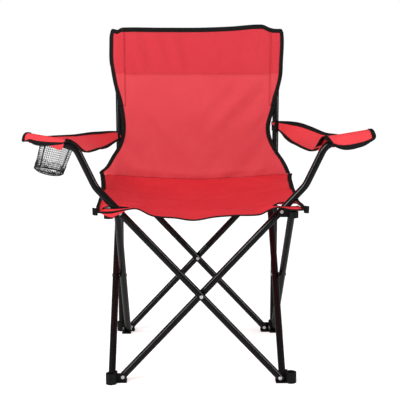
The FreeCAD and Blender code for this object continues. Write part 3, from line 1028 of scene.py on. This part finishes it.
front_trim = [tape("seat_front_binding", seat_front_edge, "seat_front", width=0.0048)]
front_trim.append(stitches("seat_front_stitches", seat_front_edge, 0.0036, "seat_front", black_thread, "black_tape"))
rear_trim = []
for side, name in SIDE_NAME.items():
    front_trim.append(tape(f"seat_{name}_binding", seat_side(side, SEAT_FRONT, SEAT_FOLD), "seat_front", width=0.0068))
    rear_trim.append(tape(f"seat_{name}_rear_binding", seat_side(side, SEAT_FOLD, SEAT_REAR), "seat_rear"))
    front_trim.append(stitches(
        f"seat_{name}_stitches", seat_side(side, SEAT_FRONT, SEAT_FOLD), 0.0054, "seat_front", black_thread, "black_tape",
    ))
    rear_trim.append(stitches(
        f"seat_{name}_rear_stitches", seat_side(side, SEAT_FOLD, SEAT_REAR), 0.0083, "seat_rear", black_thread, "black_tape",
    ))
    front_trim.append(tape(f"{name}_slit_binding", slit_edge(side), "seat_front", width=0.0026, spacing=0.003))
print(len(front_trim) + len(rear_trim), "tapes and rows on the seat")

# %% [markdown]
# ### Corner tabs and a patch
#
# At each front corner the side tape ends in a folded tab. Under the left one a patch of the
# same red cloth strengthens the corner, and its lower edge hangs into view.

# %% Tabs and patch
def tab(side):
    corner = seat_face(side * SEAT_SIDE[side](SEAT_FRONT), SEAT_FRONT)

    def place(s, t):
        x = corner.x + side * blend(-0.0035, 0.0065, s)
        z = corner.z + blend(0.0085, -0.0080, t) - 0.0012 * s * side
        y = SEAT_FRONT + 0.004 - 0.0035 * math.sin(math.pi * s) + 0.004 * t
        return Vector((x, y, z))

    return place


for side, name in SIDE_NAME.items():
    made = grid(8, 8, tab(side), lambda s, t: (s * 0.016, t * 0.016))
    piece = add_piece(made, f"seat_{name}_tab", black_tape, "seat_front", "black_tape", 0.0032)
    rounding = piece.modifiers.new("soft_edges", "BEVEL")
    rounding.width = 0.0009
    rounding.segments = 2
    front_trim.append(piece)

PATCH_X = (-0.213, -0.163)


def patch_place(s, t):
    x = blend(PATCH_X[0], PATCH_X[1], s)
    top = seat_face(x, SEAT_FRONT).z - 0.001
    drop = 0.0085 * min(s / 0.42, (1.0 - s) / 0.58) ** 0.9 + 0.001
    return Vector((x, SEAT_FRONT - 0.0012 + 0.004 * t, top - drop * t))


patch = add_piece(
    grid(16, 6, patch_place, lambda s, t: (s * 0.05, t * 0.013)), "seat_corner_patch", seat_cloth,
    "seat_front", "red_cloth", CLOTH_THICKNESS,
)
front_trim.append(patch)
print("tabs and patch made")

# %% [markdown]
# ## The armrests
#
# An armrest is a boot-shaped strap. A loop slips over the back pole, the strap runs forward and
# widens, and its front end is folded round the armrest tube and sewn under it as a pocket. The
# two sides differ as they do on any sewn chair: the right one's front flap hangs lower, and its
# strap is twisted more. Each strap is described by a few stations, from the front edge over the
# tube and back to the pole, with an inner and an outer end.

# %% Stations of the armrests
TUBE_RISE = 0.166       # how much an armrest tube climbs for each metre outwards


def arm_tube_z(side, x):
    return ARM_END[side].z + (x - abs(ARM_END[side].x)) * TUBE_RISE


def arm_row(side, inner_x, outer_x, back, lift):
    """A station along the tube: its ends lie that far behind and above the tube's middle."""
    ends = []
    for x in (inner_x, outer_x):
        ends.append((x, ARM_PLANE[side] + back, arm_tube_z(side, x) + lift))
    return ends


front_edge_z = {
    -1: through(
        (0.266, 0.5350), (0.2775, 0.5405), (0.2865, 0.5405), (0.295, 0.5365), (0.316, 0.5335),
        (0.335, 0.5320), (0.358, 0.5372), (0.379, 0.5600),
    ),
    1: through(
        (0.272, 0.5400), (0.2785, 0.5355), (0.291, 0.5255), (0.306, 0.5205), (0.321, 0.5210),
        (0.334, 0.5240), (0.353, 0.5305), (0.3745, 0.5450),
    ),
}
STATIONS = {
    -1: [
        arm_row(-1, 0.282, 0.3790, -0.0125, 0.0),
        arm_row(-1, 0.281, 0.3790, -0.0112, 0.0045),
        arm_row(-1, 0.280, 0.3785, 0.0, 0.0100),
        [(0.269, -0.175, 0.5330), (0.372, -0.173, 0.5560)],
        [(0.250, -0.110, 0.5070), (0.360, -0.110, 0.5430)],
        [(0.232, 0.000, 0.5020), (0.302, 0.000, 0.5360)],
        [(0.226, 0.100, 0.4945), (0.252, 0.100, 0.5335)],
        [(0.2040, 0.1885, 0.5045), (0.2060, 0.1885, 0.5275)],
        [(0.1955, 0.1892, 0.5120), (0.1955, 0.1892, 0.5180)],
    ],
    1: [
        arm_row(1, 0.2830, 0.3725, -0.0160, 0.0),
        arm_row(1, 0.2730, 0.3740, -0.0135, 0.0060),
        arm_row(1, 0.2640, 0.3680, -0.0010, 0.0160),
        [(0.2620, -0.1560, 0.5400), (0.368, -0.158, 0.5550)],
        [(0.2480, -0.118, 0.5090), (0.352, -0.110, 0.5430)],
        [(0.2310, 0.000, 0.5090), (0.303, 0.000, 0.5385)],
        [(0.2180, 0.100, 0.5135), (0.252, 0.100, 0.5545)],
        [(0.2120, 0.1885, 0.5240), (0.2150, 0.1885, 0.5525)],
        [(0.1880, 0.1880, 0.5455), (0.1880, 0.1880, 0.5515)],
    ],
}
SAG = through((0, 0.0), (1, 0.0), (2, 0.0), (3, 0.003), (4, 0.007), (5, 0.006), (6, 0.004), (7, 0.0), (8, 0.0))


TIP_DROP = {-1: 0.0145, 1: 0.0}     # the left tip is pinched past the end of its tube


def arm_face(side):
    rows = STATIONS[side]
    last = len(rows) - 1
    lines = []
    for end in (0, 1):
        lines.append([through(*[(i, row[end][axis]) for i, row in enumerate(rows)]) for axis in range(3)])

    def place(s, t):
        row = t * last
        inner, outer = [[line(row) for line in end] for end in lines]
        x, y, z = [blend(inner[axis], outer[axis], s) for axis in range(3)]
        z = blend(front_edge_z[side](x), z, ramp(0.0, 1.6, row))
        z -= TIP_DROP[side] * ramp(0.360, 0.379, x) * ramp(3.0, 1.0, row)
        z -= SAG(row) * 4.0 * s * (1.0 - s)
        free = ramp(2.4, 3.4, row) * ramp(7.0, 6.0, row) if row < 6.9 else 0.0
        z += free * 0.0016 * ripple(x, y, 0.045, 0.060, 6.0 + side)
        y -= ramp(1.2, 0.0, row) * 0.0012 * ripple(x, z, 0.022, 0.050, 8.0 + side) if row < 1.2 else 0.0
        return Vector((side * x, y, z))

    return place


print("stations", {SIDE_NAME[side]: len(rows) for side, rows in STATIONS.items()})
# %% Armrest straps
HOLE = (-0.313, -0.149)
HOLE_R = 0.034
ARM_BODY = {-1: "front_outer_leg", 1: "front_inner_leg"}
arm_places = {side: arm_face(side) for side in SIDE_NAME}
ARM_LENGTH = 0.40
ARM_WIDTH = 0.11


def arm_flat(s, t):
    return (s - 0.5) * ARM_WIDTH, t * ARM_LENGTH


def outside_hole(s, t):
    point = arm_places[-1](s, t)
    return math.hypot(point.x - HOLE[0], point.y - HOLE[1]) > HOLE_R


def to_hole_edge(s, t):
    """Moves a point of the strap's grid onto the rim of the cup's hole, by a few small steps."""
    place = arm_places[-1]
    for _ in range(6):
        point = place(s, t)
        way = Vector((point.x - HOLE[0], point.y - HOLE[1]))
        off = way - way.normalized() * HOLE_R
        per_s = (place(s + 0.01, t) - point) / 0.01
        per_t = (place(s, t + 0.01) - point) / 0.01
        scale = per_s.x * per_t.y - per_s.y * per_t.x
        s -= (off.x * per_t.y - off.y * per_t.x) / scale
        t -= (per_s.x * off.y - per_s.y * off.x) / scale
    return s, t


def arm_edge(side, end):
    """Along one long edge of a strap: end is 0 for the inner edge and 1 for the outer."""
    place = arm_places[side]
    forwards = (side > 0) == (end == 0)

    def at(k, depth):
        t = 1.0 - k if forwards else k
        width = (place(1.0, t) - place(0.0, t)).length
        share = min(depth / max(width, 0.045), 1.0)
        return place(share if end == 0 else 1.0 - share, t)

    return at


def arm_front(side):
    place = arm_places[side]

    def at(k, depth):
        s = k if side > 0 else 1.0 - k
        return place(s, depth / 0.075)

    return at


OUTER_TAPE = {-1: 0.0050, 1: 0.0080}
FRONT_TAPE = {-1: 0.0085, 1: 0.0070}
straps, arm_trim = {}, {-1: [], 1: []}
for side, name in SIDE_NAME.items():
    hole = {"keep": outside_hole, "snap": to_hole_edge} if side < 0 else {}
    straps[side] = add_piece(
        grid(48, 150, arm_places[side], arm_flat, **hole), f"{name}_armrest_strap", arm_cloth,
        ARM_BODY[side], "red_cloth", CLOTH_THICKNESS,
    )
    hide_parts(f"{name}_armrest")
    for label, at, width in (
        ("inner", arm_edge(side, 0), 0.0085), ("outer", arm_edge(side, 1), OUTER_TAPE[side]),
        ("front", arm_front(side), FRONT_TAPE[side]),
    ):
        arm_trim[side].append(tape(f"{name}_armrest_{label}_binding", at, ARM_BODY[side], width=width))
        arm_trim[side].append(stitches(
            f"{name}_armrest_{label}_stitches", at, width - 0.0017, ARM_BODY[side], black_thread, "black_tape",
        ))
print("armrest straps made")

# %% [markdown]
# ### Pockets and loops
#
# The pocket is a second piece of cloth, sewn to the strap's front edge and again behind the
# tube. It holds the strap on the tube's end. At the other end the strap narrows to a point at
# the backrest's waist, and a loop of tape ties it to the pole there. Loop and strap are on
# different bodies, so they are separate pieces.

# %% Pockets
POCKET_ROWS = {
    -1: [
        arm_row(-1, 0.290, 0.3670, -0.0113, 0.0),
        arm_row(-1, 0.293, 0.3665, -0.0112, -0.0050),
        arm_row(-1, 0.298, 0.3660, -0.0020, -0.0100),
        arm_row(-1, 0.294, 0.3660, 0.0105, -0.0030),
        [(0.284, -0.1745, 0.5360), (0.365, -0.1725, 0.5535)],
    ],
    1: [
        arm_row(1, 0.288, 0.3680, -0.0145, 0.0),
        arm_row(1, 0.290, 0.3660, -0.0125, -0.0045),
        arm_row(1, 0.286, 0.3640, -0.0010, -0.0100),
        arm_row(1, 0.262, 0.3640, 0.0120, -0.0040),
        [(0.2470, -0.122, 0.5120), (0.371, -0.1570, 0.5570)],
    ],
}


def pocket_face(side):
    rows = POCKET_ROWS[side]
    last = len(rows) - 1
    lines = []
    for end in (0, 1):
        lines.append([through(*[(i, row[end][axis]) for i, row in enumerate(rows)]) for axis in range(3)])

    def place(s, t):
        row = t * last
        inner, outer = [[line(row) for line in end] for end in lines]
        x, y, z = [blend(inner[axis], outer[axis], s) for axis in range(3)]
        z = blend(front_edge_z[side](x) + 0.002, z, ramp(0.0, 1.2, row))
        droop = 0.0050 if side < 0 else 0.0
        z -= droop * math.exp(-((x - 0.304) / 0.010) ** 2) * ramp(0.5, 1.5, row) * ramp(3.5, 2.5, row)
        return Vector((side * x, y, z))

    return place


for side, name in SIDE_NAME.items():
    pocket = add_piece(
        grid(30, 24, pocket_face(side), lambda s, t: (s * 0.10, t * 0.06)), f"{name}_armrest_pocket", arm_cloth,
        ARM_BODY[side], "red_cloth", CLOTH_THICKNESS,
    )
    straps[name] = pocket
print("pockets made")

# %% Loops on the poles
LOOP_R = POLE_R + 0.0014
LOOP_HALF = 0.0095
LOOP_TAPE_LENGTH = 2.0 * math.pi * LOOP_R


def loop_face(side, middle_z):
    def place(s, t):
        turn = 2.0 * math.pi * s * side
        radius = LOOP_R + 0.0003 * math.cos(3.0 * turn)
        z = middle_z + blend(-LOOP_HALF, LOOP_HALF, t) + 0.0010 * math.sin(turn + 1.0)
        return Vector((side * POLE_X + radius * math.sin(turn), POLE_Y - radius * math.cos(turn), z))

    return place


for side, name in SIDE_NAME.items():
    inner, outer = STATIONS[side][-2]
    place = loop_face(side, (inner[2] + outer[2]) / 2.0)
    made = grid(40, 8, place, lambda s, t: (s * LOOP_TAPE_LENGTH, t * 2.0 * LOOP_HALF))
    bmesh.ops.remove_doubles(made, verts=made.verts, dist=1e-6)
    loop = add_piece(made, f"{name}_pole_loop", black_tape, POLE_BODY[side], "black_tape", TAPE_THICKNESS)
print("pole loops made")

# %% [markdown]
# ## The net cup holder
#
# A knitted net bag hangs under a round hole in the left armrest. Net is mostly air, so it is
# modelled as its yarns: a cylinder is divided into squares and the wireframe operator turns
# each edge into a thin bar. The bag's bottom is a square net cut to a disc, and a doubled band
# of net goes round the foot of the bag, which is why it looks darker there. The bag hangs
# square to the sloping armrest, so it is built upright and then tilted.

# %% Net bag
CUP_TOP_Z = 0.5335
CUP_TILT = math.radians(13.0)
CUP_TAPER = math.tan(math.radians(4.5))     # the inner side slants in by twice this
CUP_R = 0.0372
CUP_DEEP = 0.066
FOOT_DROP = 0.0085
NET_PITCH = 0.0046
YARN = 0.00068


def tilt_cup(made):
    """Puts a shape built upright under the origin into its place under the armrest."""
    turned = Matrix.Rotation(CUP_TILT, 3, "Y")
    bmesh.ops.rotate(made, verts=made.verts, cent=(0, 0, 0), matrix=turned)
    bmesh.ops.translate(made, verts=made.verts, vec=(HOLE[0], HOLE[1], CUP_TOP_Z))


def on_bag(turn, depth, out=0.0):
    """A place on the bag's wall. The bag narrows downwards and is uneven all round."""
    slant = CUP_TAPER * depth
    crumple = 0.0016 * ramp(0.0, 0.02, depth)
    radius = CUP_R - slant + out
    radius += crumple * ripple(math.cos(turn), math.sin(turn) + depth * 25.0, 0.7, 0.7, 9.0)
    return Vector((radius * math.cos(turn) - slant, radius * math.sin(turn), -depth))


def to_yarns(made, yarn=YARN):
    """Turns each edge of the squares into a thin bar."""
    bmesh.ops.wireframe(
        made, faces=made.faces, thickness=yarn, offset=0.0, use_replace=True, use_boundary=True, use_even_offset=True,
    )
    tilt_cup(made)


def net_tube(name, low, high, out=0.0, pitch=NET_PITCH, waves=0.0):
    """A tube of net round the bag between two depths."""

    def place(s, t):
        turn = 2.0 * math.pi * s
        wave = waves * ripple(math.cos(turn), math.sin(turn), 0.45, 0.45, 11.0)
        return on_bag(turn, blend(low + wave, high, t), out)

    around, down = round(2.0 * math.pi * CUP_R / pitch), max(round((high - low) / pitch), 2)
    made = grid(around, down, place, lambda s, t: (s * 0.22, t * (high - low)))
    bmesh.ops.remove_doubles(made, verts=made.verts, dist=1e-6)
    to_yarns(made)
    return add_piece(made, name, cup_net, ARM_BODY[-1], "black_net")


net_wall = net_tube("cup_net_wall", 0.0, CUP_DEEP)
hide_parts("cup_holder")
# A second layer, gathered round the foot
net_tube("cup_foot_gather", CUP_DEEP - 0.012, CUP_DEEP + 0.001, out=0.0009, pitch=0.0028, waves=0.0130)

foot_r = CUP_R - CUP_TAPER * CUP_DEEP
across = round(2.0 * foot_r / NET_PITCH)
disc = bmesh.new()
bmesh.ops.create_grid(disc, x_segments=across, y_segments=across, size=foot_r)
outside = [v for v in disc.verts if v.co.xy.length > foot_r + 0.0012]
bmesh.ops.delete(disc, geom=outside, context="VERTS")
for vert in disc.verts:
    share = min(vert.co.xy.length / foot_r, 1.0)
    vert.co.z = -CUP_DEEP - FOOT_DROP * math.sqrt(1.0 - share ** 2)
    vert.co.x -= CUP_TAPER * CUP_DEEP
to_yarns(disc)
net_floor = add_piece(disc, "cup_net_floor", cup_net, ARM_BODY[-1], "black_net")
print(len(net_wall.data.polygons) + len(net_floor.data.polygons), "faces in the net")


# %% Bands and seams of the bag
def bag_ring(name, low, high, out, finish, slot, thickness):
    """A band round the bag between two depths."""

    def place(s, t):
        return on_bag(2.0 * math.pi * s, blend(low, high, t), out)

    made = grid(72, 6, place, lambda s, t: (s * 0.22, t * (high - low)))
    bmesh.ops.remove_doubles(made, verts=made.verts, dist=1e-6)
    tilt_cup(made)
    return add_piece(made, name, finish, ARM_BODY[-1], slot, thickness)


def bag_seam(name, turn):
    """An upright seam, a folded strip of net."""
    half = 0.0018 / CUP_R

    def place(s, t):
        bulge = 0.0006 + 0.0008 * math.sin(math.pi * s)
        return on_bag(turn + (s - 0.5) * 2.0 * half, t * CUP_DEEP, bulge)

    made = grid(4, 26, place, lambda s, t: (s * 0.0026, t * CUP_DEEP))
    tilt_cup(made)
    return add_piece(made, name, cup_net, ARM_BODY[-1], "black_net", 0.0006)


bag_ring("cup_rim_band", -0.0015, 0.0055, 0.0004, black_tape, "black_tape", TAPE_THICKNESS)
bag_ring("cup_foot_cord", CUP_DEEP - 0.0020, CUP_DEEP + 0.0004, 0.0006, cup_net, "black_net", 0.0009)
for label, degrees in (("outer", 236.0), ("inner", -35.0)):
    bag_seam(f"cup_{label}_seam", math.radians(degrees))


def hole_edge(k, depth):
    turn = -2.0 * math.pi * k
    x = HOLE[0] + (HOLE_R + depth) * math.cos(turn)
    y = HOLE[1] + (HOLE_R + depth) * math.sin(turn)
    return Vector((x, y, hole_height(x, y)))


def hole_height(x, y):
    """The strap's height at a place round the hole, found by stepping across its grid."""
    s, t = 0.55, 0.38
    place = arm_places[-1]
    for _ in range(8):
        point = place(s, t)
        per_s = (place(s + 0.01, t) - point) / 0.01
        per_t = (place(s, t + 0.01) - point) / 0.01
        off_x, off_y = point.x - x, point.y - y
        scale = per_s.x * per_t.y - per_s.y * per_t.x
        s -= (off_x * per_t.y - off_y * per_t.x) / scale
        t -= (per_s.x * off_y - per_s.y * off_x) / scale
    return place(s, t).z


tape("cup_hole_binding", hole_edge, ARM_BODY[-1], width=0.005, spacing=0.003)
print("cup holder made")

# %% [markdown]
# ## A mesh of its own
#
# When the frame closes, its four corners come together and the cloth between them crumples.
# Each sewn piece here is only given its own copy of its mesh.


def gathers(pieces):
    for piece in pieces:
        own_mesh(piece)


gathers([back_sheet, back_facing, *back_trim])
gathers([seat_front, *front_trim, seat_rear, *rear_trim])
for side, name in SIDE_NAME.items():
    gathers([straps[side], *arm_trim[side]])
